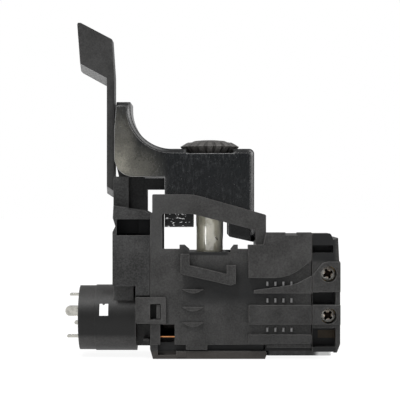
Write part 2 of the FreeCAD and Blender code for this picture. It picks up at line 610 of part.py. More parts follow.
# Lever pin: fixed in the nose, the lever turns on it.
pin = sub_part("lever_pin")
pad(pin, "YZ_Plane", "Sizes.hub_right - 2.9", "Sizes.hub_right + 5.5", disc(0, s.pivot_level, s.pin_radius))

# Reversing slider: runs across in the neck block, with a slot for the arm's end.
slider = sub_part("reversing_slider")
slider_top = s.neck_top - 0.5
fork_half = s.arm_half + 0.35
pad(slider, "XZ_Plane", "-%g" % slider_half, "%g" % slider_half, corners([
    (slider_left, slider_low), (slider_left, slider_top - 1.0, 0.4),
    (slider_right, slider_top - 1.0), (slider_right, slider_low)]))
cut(slider, "YZ_Plane", "-30", "%g" % (arm_right + 0.4),
    box(-fork_half, slot_floor, fork_half, s.neck_top + 2))

# Two copper bridges under the slider swap the brush connections.
for label, sign in (("reversing_bridge_left", -1), ("reversing_bridge_right", 1)):
    near = sign * 3.4 - 1.4
    far = sign * 3.4 + 1.4
    cut(slider, "XZ_Plane", "%g" % (near - 0.1), "%g" % (far + 0.1),
        box(-24.7, slider_low - 1, -23.7, slider_low + 3))
    copper = sub_part(label)
    pad(copper, "XZ_Plane", "%g" % near, "%g" % far, box(-24.6, slider_low + 0.2, -23.8, slider_low + 3))

# Brush contacts: plated springs that stand out of the drum's end.
CONTACTS = [(19.6, 0.4, 3.1, -3.0), (14.0, 1.6, 4.9, 1.2), (10.0, 0.6, 2.3, 4.0), (6.3, 0.45, 4.0, -2.5)]
for number, (level, half, reach, side) in enumerate(CONTACTS, start=1):
    contact = sub_part("brush_contact_%d" % number)
    pad(contact, "XZ_Plane", "%g" % (side - 1.2), "%g" % (side + 1.2), corners([
        (s.drum_left + 0.8, level - half), (s.drum_left - reach, level - half, half * 0.9),
        (s.drum_left - reach, level + half, half * 0.9), (s.drum_left + 0.8, level + half)]))

# Terminals: a brass clamp behind each screw, with a tail into the body.
for label, level in (("upper", s.terminal_upper), ("lower", s.terminal_lower)):
    clamp = sub_part("terminal_clamp_" + label)
    pad(clamp, "XZ_Plane", "%g" % clamp_near, "%g" % clamp_far, box(
        clamp_left, level - s.clamp_half, clamp_right, level + s.clamp_half))
    cut(clamp, "XZ_Plane", "%g" % clamp_near, "%g" % (entry_depth + 1), disc(s.terminal_across, level, 1.5))
    cut(clamp, "YZ_Plane", "%g" % (clamp_left + 1), "%g" % clamp_right, disc(entry_depth, level, entry_radius))
    pad(clamp, "XZ_Plane", "%g" % (entry_depth - 1.4), "%g" % (entry_depth + 1.4), box(cavity_right - 2.6, level - 0.4, clamp_left + 0.2, level + 0.4))
    screw = sub_part("terminal_screw_" + label)
    pad(screw, "XZ_Plane", "-Sizes.screw_level", "%g" % clamp_near, disc(s.terminal_across, level, s.screw_radius))
    pad(screw, "XZ_Plane", "%g" % clamp_near, "%g" % (clamp_near + 1.5), disc(s.terminal_across, level, 1.5))
    slot_half = 0.5
    arm_long = 1.8
    cut(screw, "XZ_Plane", "-Sizes.screw_level", "-Sizes.screw_level + 1.6", corners([
        (s.terminal_across + x, level + z) for x, z in (
            (-arm_long, -slot_half), (-slot_half, -slot_half), (-slot_half, -arm_long),
            (slot_half, -arm_long), (slot_half, -slot_half), (arm_long, -slot_half),
            (arm_long, slot_half), (slot_half, slot_half), (slot_half, arm_long),
            (-slot_half, arm_long), (-slot_half, slot_half), (-arm_long, slot_half))]))
    cut(screw, "XZ_Plane", "-Sizes.screw_level", "-Sizes.screw_level + 1.2", disc(s.terminal_across, level, 1.0))

# Heat sink: an aluminium plate under the right end, with its screw.
sink = sub_part("heat_sink")
sink_top = "Sizes.heel_level"
pad(sink, "XY_Plane", "Sizes.heel_level - Sizes.sink_sheet", sink_top,
    box(s.rail_right + 0.6, -s.sink_half, 38.0, s.sink_half, 1.0))
cut(sink, "XY_Plane", "Sizes.heel_level - Sizes.sink_sheet", sink_top, disc(26, 0, 1.5))
sink_screw = sub_part("heat_sink_screw")
pad(sink_screw, "XY_Plane", "Sizes.heel_level - Sizes.sink_sheet", sink_top, disc(26, 0, 1.5))

# Link bar: the copper strip in the pocket at the lower left.
link = sub_part("link_bar")
pad(link, "XZ_Plane", FRONT_IN + " + 1.2", FRONT_IN + " + 1.8", box(cavity_left, cavity_floor, -10.5, cavity_floor + 0.35))

# Contact carrier: the insulating block on the plunger's foot.
carrier = sub_part("contact_carrier")
carrier_low = "Sizes.plunger_foot - 3.5"
pad(carrier, "XY_Plane", carrier_low, "Sizes.plunger_foot", box(-6, -6, 8.6, 6, 1.0))
bridge = sub_part("contact_bridge")
pad(bridge, "XY_Plane", "Sizes.plunger_foot - 2.6", "Sizes.plunger_foot - 1.8",
    box(8.6, -5.4, 12.4, 5.4, 0.4))
wiper = sub_part("wiper")
pad(wiper, "XY_Plane", "Sizes.plunger_foot - 3", "Sizes.plunger_foot - 0.5",
    box(-3, -7.4, 3, -6))

# Fixed contacts: two silver-tipped strips that the bridge closes on.
for label, side, end, rise in (
        ("line", -3.8, cavity_right - 2.6, s.terminal_lower + 0.4), ("load", 3.8, 22.0, 12.0)):
    fixed = sub_part("fixed_contact_" + label)
    pad(fixed, "XZ_Plane", "%g" % (side - 1.4), "%g" % (side + 1.4), corners([
        (9.6, 11.3), (9.6, 12.1), (13.0, 12.1), (13.0, cavity_floor + 0.8),
        (end - 0.7, cavity_floor + 0.8), (end - 0.7, rise), (end, rise), (end, cavity_floor),
        (12.2, cavity_floor), (12.2, 11.3)]))

# Circuit board with the resistance track, the capacitor and the triac.
board = sub_part("circuit_board")
pad(board, "XZ_Plane", FRONT_IN + " + 1.0", FRONT_IN + " + 2.6", box(-10.4, cavity_floor, 10, 23.5))
capacitor = sub_part("capacitor")
pad(capacitor, "XZ_Plane", "4", BACK_IN + " - 0.1", box(-15.0, 8.0, -7.2, 20, 1.2))
triac = sub_part("triac")
pad(triac, "XZ_Plane", "0", "9", box(22.0, cavity_floor, 26.4, 20, 0.5))

# Return spring: between the body's floor and the carrier.
spring_low = cavity_floor
spring_high = s.plunger_foot - 3.5
spring_turns = 5
wire = s.spring_wire / 2
ring_steps = 14
wire_sides = 5
steps = spring_turns * ring_steps
climb = (spring_high - spring_low - 2 * wire - 0.1) / steps


def spring_ring(step):
    """Corners of the wire's section after so many steps round the coil."""
    turn = 2 * math.pi * step / ring_steps
    level = spring_low + wire + 0.05 + climb * step
    ring = []
    for side in range(wire_sides):
        angle = 2 * math.pi * side / wire_sides
        reach = s.spring_radius + wire * math.cos(angle)
        ring.append(V(reach * math.cos(turn), reach * math.sin(turn), level + wire * math.sin(angle)))
    return ring


def facet(*points):
    """One flat face between corners."""
    return Part.Face(Part.makePolygon(list(points) + [points[0]]))


rings = [spring_ring(step) for step in range(steps + 1)]
facets = [facet(*reversed(rings[0])), facet(*rings[-1])]
for here, ahead in zip(rings, rings[1:]):
    for side in range(wire_sides):
        beside = (side + 1) % wire_sides
        facets.append(facet(here[side], here[beside], ahead[beside]))
        facets.append(facet(here[side], ahead[beside], ahead[side]))
spring = sub_part("return_spring", "Part::Feature")
spring.Shape = Part.Solid(Part.Shell(facets))

doc.recompute()

# Every object must be sound before anything is written.
for obj in doc.Objects:
    if "Invalid" in obj.State or "Error" in obj.State:
        raise RuntimeError("%s did not build" % obj.Label)
for obj in PARTS:
    if obj.Shape.isNull() or not obj.Shape.isValid():
        raise RuntimeError("%s has no sound shape" % obj.Label)

os.makedirs("parts", exist_ok=True)
for obj in PARTS:
    obj.Shape.exportStep("parts/%s.step" % obj.Label)
    print("%-24s solids %d  volume %.1f" % (obj.Label, len(obj.Shape.Solids), obj.Shape.Volume))
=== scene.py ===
import json
import math
import bpy
import numpy as np
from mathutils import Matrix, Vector


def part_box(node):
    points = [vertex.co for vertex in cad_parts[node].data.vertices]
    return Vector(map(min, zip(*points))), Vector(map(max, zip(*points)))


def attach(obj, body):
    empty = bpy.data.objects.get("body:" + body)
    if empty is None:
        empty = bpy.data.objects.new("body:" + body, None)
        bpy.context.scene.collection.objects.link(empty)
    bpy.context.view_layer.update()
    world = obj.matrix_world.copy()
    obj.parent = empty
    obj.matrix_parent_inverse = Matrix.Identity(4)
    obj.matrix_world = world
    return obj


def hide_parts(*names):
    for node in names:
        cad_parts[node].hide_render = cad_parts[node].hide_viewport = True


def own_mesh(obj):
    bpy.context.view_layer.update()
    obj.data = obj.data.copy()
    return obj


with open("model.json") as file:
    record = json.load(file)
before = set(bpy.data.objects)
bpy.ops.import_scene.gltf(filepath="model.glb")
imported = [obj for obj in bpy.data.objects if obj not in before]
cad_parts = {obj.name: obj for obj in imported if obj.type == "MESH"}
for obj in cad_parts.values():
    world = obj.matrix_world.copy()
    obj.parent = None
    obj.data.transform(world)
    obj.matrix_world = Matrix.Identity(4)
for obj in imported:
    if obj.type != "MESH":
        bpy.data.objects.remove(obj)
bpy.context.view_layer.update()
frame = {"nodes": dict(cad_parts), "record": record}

nodes = frame["nodes"]
scene = bpy.context.scene
scene.view_settings.view_transform = "Standard"

# Camera. The switch is seen square on from its flat side, from about 40 cm,
# so that the far arch shows a little inside the near one.
face_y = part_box("front_cover")[0][1]
view_centre = Vector((-0.0031, face_y, 0.0496))
view_width = 0.124
view_distance = 0.410
camera_data = bpy.data.cameras.new("camera")
camera_data.sensor_width = 36
camera_data.lens = camera_data.sensor_width * view_distance / view_width
camera_data.clip_start = 0.01
camera = bpy.data.objects.new("camera", camera_data)
camera.location = view_centre - Vector((0, view_distance, 0))
camera.rotation_euler = (math.radians(90), 0, 0)
scene.collection.objects.link(camera)
scene.camera = camera


class Socket:
    """A node's output that takes part in sums: each operator adds a Math node."""

    def __init__(self, tree, link):
        self.tree = tree
        self.link = link

    def math(self, operation, other, swapped=False):
        pair = (other, self) if swapped else (self, other)
        return self.tree.node("ShaderNodeMath", {"operation": operation}, {0: pair[0], 1: pair[1]})

    def __add__(self, other):
        return self.math("ADD", other)

    def __radd__(self, other):
        return self.math("ADD", other, True)

    def __sub__(self, other):
        return self.math("SUBTRACT", other)

    def __rsub__(self, other):
        return self.math("SUBTRACT", other, True)

    def __mul__(self, other):
        return self.math("MULTIPLY", other)

    def __truediv__(self, other):
        return self.math("DIVIDE", other)

    def clamp(self):
        return self.tree.node("ShaderNodeClamp", {}, {"Value": self})


class Finish:
    """A material of this switch: its node tree, and the ways that its nodes are added."""

    def __init__(self, name):
        self.material = bpy.data.materials.new(name)
        self.material.use_nodes = True
        self.tree = self.material.node_tree
        self.shader = self.tree.nodes["Principled BSDF"]
        where = self.tree.nodes.new("ShaderNodeTexCoord")
        self.place = Socket(self, where.outputs["Object"])

    def feed(self, socket, value):
        """Give a socket a link or a plain value."""
        if isinstance(value, Socket):
            self.tree.links.new(value.link, socket)
        elif value is not None:
            socket.default_value = value

    def node(self, kind, settings, inputs, output=0):
        """Add a node, with its settings first and then its sockets."""
        made = self.tree.nodes.new(kind)
        for key, value in settings.items():
            setattr(made, key, value)
        for key, value in inputs.items():
            self.feed(made.inputs[key], value)
        return Socket(self, made.outputs[output])

    def shape(self, **values):
        """Set sockets of the surface shader; underscores stand for spaces."""
        for key, value in values.items():
            self.feed(self.shader.inputs[key.replace("_", " ")], value)

    def noise(self, scale, detail=4.0, roughness=0.55, place=None):
        """Noise in metres: scale is the number of cells in a metre."""
        return self.node("ShaderNodeTexNoise", {}, {
            "Vector": place or self.place, "Scale": scale, "Detail": detail, "Roughness": roughness})

    def ramp(self, value, low, high):
        """Map low to 0 and high to 1, smoothly, and hold outside."""
        return self.node("ShaderNodeMapRange", {"interpolation_type": "SMOOTHSTEP"}, {
            "Value": value, "From Min": low, "From Max": high})

    def band(self, value, start, full, still_full, end):
        """1 from full to still_full, with smooth flanks down to 0 at start and at end."""
        return self.ramp(value, start, full) * self.ramp(value, end, still_full)

    def stretched(self, scale):
        """The place with each axis scaled, so that noise fed with it runs long."""
        return self.node("ShaderNodeVectorMath", {"operation": "MULTIPLY"}, {0: self.place, 1: scale})

    def mix(self, factor, first, second):
        """Blend two colours."""
        return self.node("ShaderNodeMix", {"data_type": "RGBA"}, {0: factor, 6: first, 7: second}, 2)

    def axis(self, name):
        """One coordinate of the place, in metres."""
        parts = self.tree.nodes.new("ShaderNodeSeparateXYZ")
        self.feed(parts.inputs[0], self.place)
        return Socket(self, parts.outputs[name])

    def turned(self):
        """The piece's own surface direction, as three sockets."""
        where = self.tree.nodes.new("ShaderNodeNewGeometry")
        parts = self.tree.nodes.new("ShaderNodeSeparateXYZ")
        self.tree.links.new(where.outputs["True Normal"], parts.inputs[0])
        return [Socket(self, parts.outputs[name]) for name in "XYZ"]

    def edge_mask(self, radius, low, high):
        """1 on outer edges and corners, where a wide soft bevel turns the surface most."""
        where = self.tree.nodes.new("ShaderNodeNewGeometry")
        soft = self.node("ShaderNodeBevel", {"samples": 8}, {"Radius": radius})
        turn = self.node("ShaderNodeVectorMath", {"operation": "DOT_PRODUCT"}, {
            0: soft, 1: Socket(self, where.outputs["True Normal"])}, 1)
        return self.ramp(1 - turn, low, high)

    def relief(self, height, distance, edge=None, strength=1.0):
        """Bump of a height map over edges that are softened by a small radius."""
        rounded = None
        if edge:
            rounded = self.node("ShaderNodeBevel", {"samples": 10}, {"Radius": edge})
        bump = self.node("ShaderNodeBump", {}, {
            "Height": height, "Distance": distance, "Strength": strength, "Normal": rounded})
        self.shape(Normal=bump)


def grey(value, warmth=0.0):
    """A dark or pale neutral colour; warmth pushes it towards brown."""
    return (value * (1 + warmth), value, value * (1 - warmth), 1.0)


def dress(finish, *names):
    """Give CAD pieces this material."""
    for name in names:
        slots = nodes[name].material_slots
        if slots:
            slots[0].material = finish.material
        else:
            nodes[name].data.materials.append(finish.material)


def moulded(name, base, warmth, roughness, edge, grain, gloss=0.35, edge_brightening=1.5):
    """Moulded thermoplastic: a fine spark-eroded grain, cloudy shine, and edges painted paler as a
    highlight, patchy like wear.
    """
    finish = Finish(name)
    cloud = finish.noise(110, 6, 0.62)
    fine = finish.noise(5200, 2, 0.5)
    grit = finish.noise(1900, 4, 0.75)
    tone = finish.ramp(cloud, 0.36, 0.66) * 0.45 + finish.ramp(grit, 0.34, 0.66) * 0.55
    colour = finish.mix(tone, grey(base * 0.42, warmth), grey(base * 1.62, warmth * 0.6))
    # Painted highlight: outer edges are lifted paler, in patches like wear.
    edges = finish.edge_mask(0.0006, 0.02, 0.20) * finish.ramp(finish.noise(900, 4, 0.7), 0.30, 0.56)
    colour = finish.mix(edges * 0.60, colour, grey(base * (1 + edge_brightening), warmth))
    dust = finish.ramp(finish.noise(2600, 3, 0.7), 0.67, 0.76)
    colour = finish.mix(dust * 0.35, colour, grey(base * 3.2, warmth))
    finish.shape(Base_Color=colour, Roughness=roughness - 0.10 + cloud * 0.20, Specular_IOR_Level=gloss)
    finish.relief(fine, grain, edge)
    finish.colour = colour
    return finish


# Housing mouldings: glass-filled nylon in a matt black-grey with a fine tool
# texture. On faces that look forward, painted shade darkens the sunk floors, the
# pockets beside the screws, the strip under the plunger and the lower right, and
# a painted shadow lies under the hook; a shaded brass terminal is painted brown
# in a pocket. A painted highlight lifts the channel ribs, painted light the left
# arch post, and the rail along the bottom is painted a paler brown, brownish in
# tint and paler with painted light from below.
cover_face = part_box("reversing_housing")[0][1]
rib_top = cover_face - 0.0009
underlit_brown_tone = (0.044, 0.036, 0.031, 1)
shaded_brass_tone = (0.040, 0.026, 0.010, 1)
housing_finish = moulded("housing_plastic_moulded", 0.025, 0.03, 0.54, 0.00022, 0.000022, 0.30, 2.2)
housing_x, housing_y, housing_z = [housing_finish.axis(name) for name in "XYZ"]
seen_face = housing_finish.ramp(housing_finish.turned()[1], -0.60, -0.90)
# Painted shade: the sunk floors, the pockets of the end section and the strip under the plunger are
# darkened below.
sunk = housing_finish.ramp(housing_y, cover_face + 0.0006, cover_face + 0.0020)
# Painted shadow under the hook.
hook_shadow = housing_finish.band(housing_z, 0.0150, 0.0200, 0.0240, 0.0330)
hook_shadow = hook_shadow * housing_finish.band(housing_x, -0.0100, -0.0040, 0.0200, 0.0280)
hook_shadow = hook_shadow * housing_finish.ramp(housing_y, cover_face - 0.0006, cover_face - 0.0002)
# Painted shade: darker towards the lower right.
lower_right_shade = housing_finish.ramp(housing_z, 0.0280, 0.0080) * housing_finish.ramp(housing_x, -0.0200, 0.0150)
end_section = housing_finish.band(housing_x, 0.0320, 0.0322, 0.0385, 0.0395) * (
    housing_finish.ramp(housing_z, 0.0298, 0.0312) + housing_finish.ramp(housing_z, 0.0052, 0.0044))
under_plunger = housing_finish.band(housing_z, 0.0322, 0.0326, 0.0347, 0.0350)
under_plunger = under_plunger * housing_finish.band(housing_x, -0.0068, -0.0060, 0.0052, 0.0060)
# The sum of painted shade and painted shadow, laid only on faces that look forward.
dark = sunk * 0.88 + hook_shadow * 0.80 + lower_right_shade * 0.26 + end_section * 0.95 + under_plunger * 0.9
housing_tone = housing_finish.mix((dark * seen_face).clamp(), housing_finish.colour, grey(0.0035, -0.1))
# Painted shade in brass brown: a dark patch in the sunk pocket stands for a shaded brass terminal.
shaded_terminal = sunk * housing_finish.ramp(housing_x, 0.0338, 0.0342)
shaded_terminal = shaded_terminal * housing_finish.band(housing_z, 0.0060, 0.0064, 0.0085, 0.0089)
housing_tone = housing_finish.mix(shaded_terminal * 0.8, housing_tone, shaded_brass_tone)
# Painted highlight on the faces of the channel ribs.
rib_highlight = housing_finish.band(
    housing_y, rib_top - 0.00030, rib_top - 0.00015, rib_top + 0.00015, rib_top + 0.00030)
rib_highlight = rib_highlight * housing_finish.ramp(housing_x, 0.0145, 0.0155)
housing_tone = housing_finish.mix(rib_highlight * 0.7, housing_tone, grey(0.16))
# Painted light: the left arch post is lighter on its forward faces.
lit_post = housing_finish.ramp(housing_x, -0.0020, -0.0170) * housing_finish.ramp(housing_z, 0.0300, 0.0400)
housing_tone = housing_finish.mix(lit_post * seen_face * 0.34, housing_tone, grey(0.056))
# The rail along the bottom is painted a paler brown: brownish in tint, and paler with painted light from
# below.
underlit_rail = housing_finish.ramp(housing_z, 0.0026, 0.0021)
housing_finish.shape(Base_Color=housing_finish.mix(underlit_rail * 0.5, housing_tone, underlit_brown_tone))
dress(housing_finish, "rear_housing", "front_cover")

# Connector drum: the same nylon, smooth on the outside. A painted dark
# reflection darkens it round its front, below the middle.
drum_finish = moulded("drum_plastic_moulded", 0.029, 0.03, 0.50, 0.00022, 0.000022, 0.30)
drum_x, drum_y, drum_z = [drum_finish.axis(name) for name in "XYZ"]
# Painted reflection: a dark band round the front, below the middle.
dark_reflection = drum_finish.band(drum_z, 0.0058, 0.0076, 0.0130, 0.0205)
dark_reflection = dark_reflection * drum_finish.ramp(drum_y, -0.0015, -0.0055) * drum_finish.ramp(drum_x, -0.0225, -0.0240)
drum_finish.shape(Base_Color=drum_finish.mix(dark_reflection * 0.92, drum_finish.colour, grey(0.003)))
dress(drum_finish, "connector_drum")

# Reversing housing: the same nylon, less shiny. Painted shade darkens the bar
# and the panel beside the lever's hub, and painted light makes the saddle that
# the drum rests in paler.
neck_finish = moulded("neck_plastic_moulded", 0.031, 0.0, 0.54, 0.00022, 0.000022, 0.12)
neck_x, neck_y, neck_z = [neck_finish.axis(name) for name in "XYZ"]
# Painted shade on the panel beside the hub and on the recessed bar.
shaded_panel = neck_finish.ramp(neck_z, 0.0462, 0.0470) * neck_finish.ramp(neck_x, -0.0258, -0.0254)
bar = neck_finish.band(neck_z, 0.0383, 0.0385, 0.0435, 0.0437) * neck_finish.ramp(neck_y, -0.0115, -0.0105)
neck_tone = neck_finish.mix(
    (shaded_panel * 0.55 + bar * 0.96).clamp(), neck_finish.colour, grey(0.0022, -0.2))
# Painted light on the saddle under the drum, against the shade of the neck above.
lit_saddle = neck_finish.ramp(neck_z, 0.0198, 0.0194) * neck_finish.ramp(
    neck_y, cover_face + 0.0020, cover_face + 0.0025)
neck_finish.shape(Base_Color=neck_finish.mix(lit_saddle, neck_tone, grey(0.058)))
dress(neck_finish, "reversing_housing")

# Trigger: polished black moulding, with the haze, dust and small scratches
# that handling leaves on its sides, most of all at the lower end of its tip.
# Painted shade darkens its hollow inside, which carries a few painted glints;
# its chamfers carry painted shade and its edges a painted highlight line.
trigger_finish = Finish("trigger_plastic_polished")
across = trigger_finish.axis("X")
height = trigger_finish.axis("Z")
haze_cloud = trigger_finish.noise(170, 7, 0.66)
haze_grain = trigger_finish.noise(2300, 4, 0.80)
lower_end = trigger_finish.ramp(height, 0.0690, 0.0575) * trigger_finish.ramp(across, -0.0125, -0.0225)
up_the_tip = trigger_finish.ramp(height, 0.0830, 0.0640) * trigger_finish.ramp(across, -0.0215, -0.0275)
haze = (lower_end * 0.72 + up_the_tip * 0.86) * (0.02 + haze_cloud * 1.50)
haze = (haze * (haze_grain * 1.70 - 0.08)).clamp()
streak_place = trigger_finish.stretched((1.0, 1.0, 0.45))
streaks = trigger_finish.ramp(trigger_finish.noise(900, 8, 0.80, streak_place), 0.46, 0.70)
handled = trigger_finish.ramp(trigger_finish.noise(75, 4, 0.65), 0.40, 0.62)
specks = trigger_finish.ramp(trigger_finish.noise(1700, 5, 0.85), 0.58, 0.68)
trigger_tone = trigger_finish.mix(haze, grey(0.0050, -0.16), (0.165, 0.158, 0.132, 1))
trigger_tone = trigger_finish.mix(streaks * (0.10 + handled * 0.50), trigger_tone, grey(0.050, -0.04))
flecks = trigger_finish.ramp(trigger_finish.noise(2100, 2, 0.5), 0.745, 0.765)
trigger_tone = trigger_finish.mix(flecks * 0.6, trigger_tone, grey(0.30, 0.0))
trigger_tone = trigger_finish.mix(specks * (0.20 + handled * 0.35), trigger_tone, grey(0.085, 0.0))
# Painted shade inside the arch.
shaded_inside = trigger_finish.ramp(height, 0.0465, 0.0450)
# Painted highlights: a few bright glints on the inner box.
painted_glint_place = trigger_finish.stretched((0.5, 1.0, 1.4))
painted_glint = trigger_finish.ramp(trigger_finish.noise(1100, 3, 0.6, painted_glint_place), 0.60, 0.64)
painted_glint = painted_glint * shaded_inside * trigger_finish.ramp(across, -0.0050, -0.0060)
trigger_tone = trigger_finish.mix(shaded_inside * 0.85, trigger_tone, grey(0.001, -0.3))
trigger_tone = trigger_finish.mix(painted_glint * 0.9, trigger_tone, grey(0.85, 0.0))
facing_side = trigger_finish.turned()[1]
# Painted shade on the chamfers.
dark_chamfer = trigger_finish.band(facing_side, -0.92, -0.84, -0.56, -0.40)
trigger_tone = trigger_finish.mix(dark_chamfer * 0.85, trigger_tone, grey(0.003, -0.1))
# Painted highlight: a thin pale line along the edges.
edge_highlight = trigger_finish.edge_mask(0.0003, 0.010, 0.045) * (1 - dark_chamfer)
trigger_tone = trigger_finish.mix(edge_highlight * (0.35 + haze_cloud * 0.8), trigger_tone, grey(0.36, 0.0))
trigger_finish.shape(
    Base_Color=trigger_tone, Specular_IOR_Level=0.30,
    Roughness=0.16 + haze * 0.34 + streaks * 0.12 + haze_cloud * 0.06)
trigger_finish.relief(haze_cloud + haze_grain * 0.06, 0.00006, 0.0015, 0.6)
dress(trigger_finish, "trigger")

# Reversing lever: a satin moulding. Its bevels under the head and the stalk are
# painted paler with painted light from below, and painted shade darkens one
# side along the stalk.
lever_finish = moulded("lever_plastic_satin", 0.019, 0.02, 0.48, 0.00018, 0.000012)
facing_y, facing_z = lever_finish.turned()[1:]
# Painted light: bevels facing down and forward are lighter, as if lit from the floor.
bevel = lever_finish.ramp(facing_z, -0.35, -0.55) * lever_finish.ramp(facing_y, -0.35, -0.55)
# Painted shade along one side of the stalk.
shaded_stalk_side = lever_finish.ramp(lever_finish.axis("X"), -0.0310, -0.0307) * lever_finish.ramp(
    lever_finish.axis("Z"), 0.0880, 0.0860)
lever_tone = lever_finish.mix(shaded_stalk_side * 0.55, lever_finish.colour, grey(0.004, 0.0))
lever_finish.shape(Base_Color=lever_finish.mix(bevel * 0.9, lever_tone, grey(0.20, 0.0)))
dress(lever_finish, "reversing_lever")

# Speed dial: warm grey, satin, with painted shade down in its flutes, which the
# cosine of so many times the angle about its axis picks out.
flute_count = 20
dial_finish = moulded("dial_plastic_satin", 0.058, 0.07, 0.50, 0.00012, 0.000010, 0.28, 0.6)
about_axis = dial_finish.axis("Y").math("ARCTAN2", dial_finish.axis("X"))
flute_wave = dial_finish.node("ShaderNodeMath", {"operation": "COSINE"}, {0: about_axis * flute_count})
# Painted shade in the flutes.
dial_finish.shape(Base_Color=dial_finish.mix(
    dial_finish.ramp(flute_wave, 0.2, -0.8) * 0.42, dial_finish.colour, grey(0.012, 0.05)))
dress(dial_finish, "speed_dial", "dial_stem")

# Plunger: natural nylon under a film of grease, with grey rub marks along its
# travel, a painted highlight that makes one side paler, and a dark nick that
# follows a slanted ellipse.
plunger_finish = Finish("ivory_nylon")
plunger_x, plunger_y, plunger_z = [plunger_finish.axis(name) for name in "XYZ"]
rub = plunger_finish.ramp(plunger_finish.noise(420, 5, 0.65), 0.42, 0.75)
ivory = plunger_finish.mix(rub, (0.64, 0.615, 0.49, 1), (0.36, 0.34, 0.25, 1))
# Painted highlight down the right side.
bright_side_highlight = plunger_finish.ramp(plunger_x, 0.0018, 0.0036)
ivory = plunger_finish.mix(bright_side_highlight * 0.65, ivory, (0.92, 0.90, 0.80, 1))
nick_x = plunger_x - 0.0021
nick_z = plunger_z - 0.0374
nick_along = (nick_x * 0.72 - nick_z * 0.69) / 0.00075
nick_beside = (nick_x * 0.69 + nick_z * 0.72) / 0.00026
nick = plunger_finish.ramp(nick_along * nick_along + nick_beside * nick_beside, 1.0, 0.6)
nick = nick * plunger_finish.ramp(plunger_y, -0.0010, -0.0020)
plunger_finish.shape(
    Base_Color=plunger_finish.mix(nick, ivory, (0.06, 0.05, 0.03, 1)), Roughness=0.12 + rub * 0.14,
    Specular_IOR_Level=0.9, Coat_Weight=1.0, Coat_Roughness=0.05, Coat_IOR=2.0)
plunger_finish.relief(rub, 0.00002, 0.0002)
dress(plunger_finish, "plunger")

# Small metal parts: a plated steel pin, tinned contacts, stamped brass clamps,
# copper strips and spring wire, all slightly tarnished.
METALS = {
    "pin_steel": ((0.45, 0.43, 0.40, 1), 0.24, ("lever_pin",)),
    "contact_tinned": ((0.50, 0.49, 0.45, 1), 0.16, (
        "brush_contact_1", "brush_contact_2", "brush_contact_3", "brush_contact_4")),
    "clamp_brass": ((0.60, 0.44, 0.20, 1), 0.34, (
        "terminal_clamp_upper", "terminal_clamp_lower", "fixed_contact_line", "fixed_contact_load")),
    "strip_copper": ((0.80, 0.36, 0.15, 1), 0.28, (
        "link_bar", "contact_bridge", "wiper", "reversing_bridge_left", "reversing_bridge_right")),
    "spring_wire": ((0.55, 0.55, 0.55, 1), 0.30, ("return_spring",)),
}
for metal_name, (metal_tone, metal_rough, metal_nodes) in METALS.items():
    metal = Finish(metal_name)
    tarnish = metal.ramp(metal.noise(700, 5, 0.65), 0.40, 0.75)
    dull = tuple(channel * 0.6 for channel in metal_tone[:3]) + (1,)
    metal.shape(Base_Color=metal.mix(tarnish * 0.6, metal_tone, dull), Metallic=1.0,
                Roughness=metal_rough + tarnish * 0.18)
    metal.relief(metal.noise(3500, 3, 0.6), 0.000012, 0.0001)
    dress(metal, *metal_nodes)

# Heat sink: rolled aluminium plate under the power switch, mottled with paste.
# Painted shade keeps it dark where the housing covers it, and a painted
# reflection makes its free end bright, where it is bare metal.
sink_finish = Finish("plate_aluminium")
# Painted reflection at the free end; the rest is kept dark as painted shade.
lit_free_end = sink_finish.ramp(sink_finish.axis("X"), 0.0322, 0.0345)
paste = sink_finish.ramp(sink_finish.noise(500, 5, 0.65), 0.35, 0.70)
sink_finish.shape(
    Base_Color=sink_finish.mix(lit_free_end, sink_finish.mix(paste, grey(0.014), grey(0.034)), grey(0.50)),
    Metallic=0.3 + lit_free_end * 0.7, Roughness=0.42 - lit_free_end * 0.14)
sink_finish.relief(sink_finish.noise(3500, 3, 0.6), 0.000012, 0.0001)
dress(sink_finish, "heat_sink", "heat_sink_screw")

# Terminal screws: M3 pan heads of zinc-plated steel with brown stains, each with
# a pressed cross recess painted dark brown as shade, and a painted highlight on
# the lower rim. They sit in the end section, over the clamps.
screw_low, screw_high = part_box("terminal_screw_upper")
screw_head = (screw_high[0] - screw_low[0]) / 2
screw_face = screw_low[1]
screw_dome = 0.00032
shank_radius = 0.0015
head_depth = 0.0020
screw_length = 0.0035


def plated_head(name, centre_x, centre_z):
    """Zinc plate with brown stains, a painted highlight on the lower rim and painted shade in the recess.
    """
    finish = Finish(name)
    beside, above = finish.axis("X") - centre_x, finish.axis("Z") - centre_z
    out = (beside * beside + above * above).math("SQRT", 0.0)
    # Painted highlight on the lower rim.
    rim = finish.ramp(out, 0.00115, 0.00150) * (0.35 + finish.ramp(above + beside * 0.4, 0.0014, -0.0004))
    stain = finish.ramp(finish.noise(1500, 5, 0.7), 0.46, 0.66)
    # Painted shade, dark brown, down in the recess.
    recess_shade = finish.ramp(finish.axis("Y") - screw_face, screw_dome + 0.00002, screw_dome + 0.00020)
    colour = finish.mix(stain, (0.50, 0.42, 0.34, 1), (0.16, 0.11, 0.08, 1))
    colour = finish.mix(rim.clamp(), colour, (1.0, 0.98, 0.92, 1))
    finish.shape(Base_Color=finish.mix(recess_shade, colour, (0.020, 0.014, 0.011, 1)),
                 Metallic=0.95, Roughness=0.18 + recess_shade * 0.35 + stain * 0.15 + rim.clamp() * 0.22)
    finish.relief(finish.noise(3000, 3, 0.6), 0.000010, 0.00005)
    return finish.material


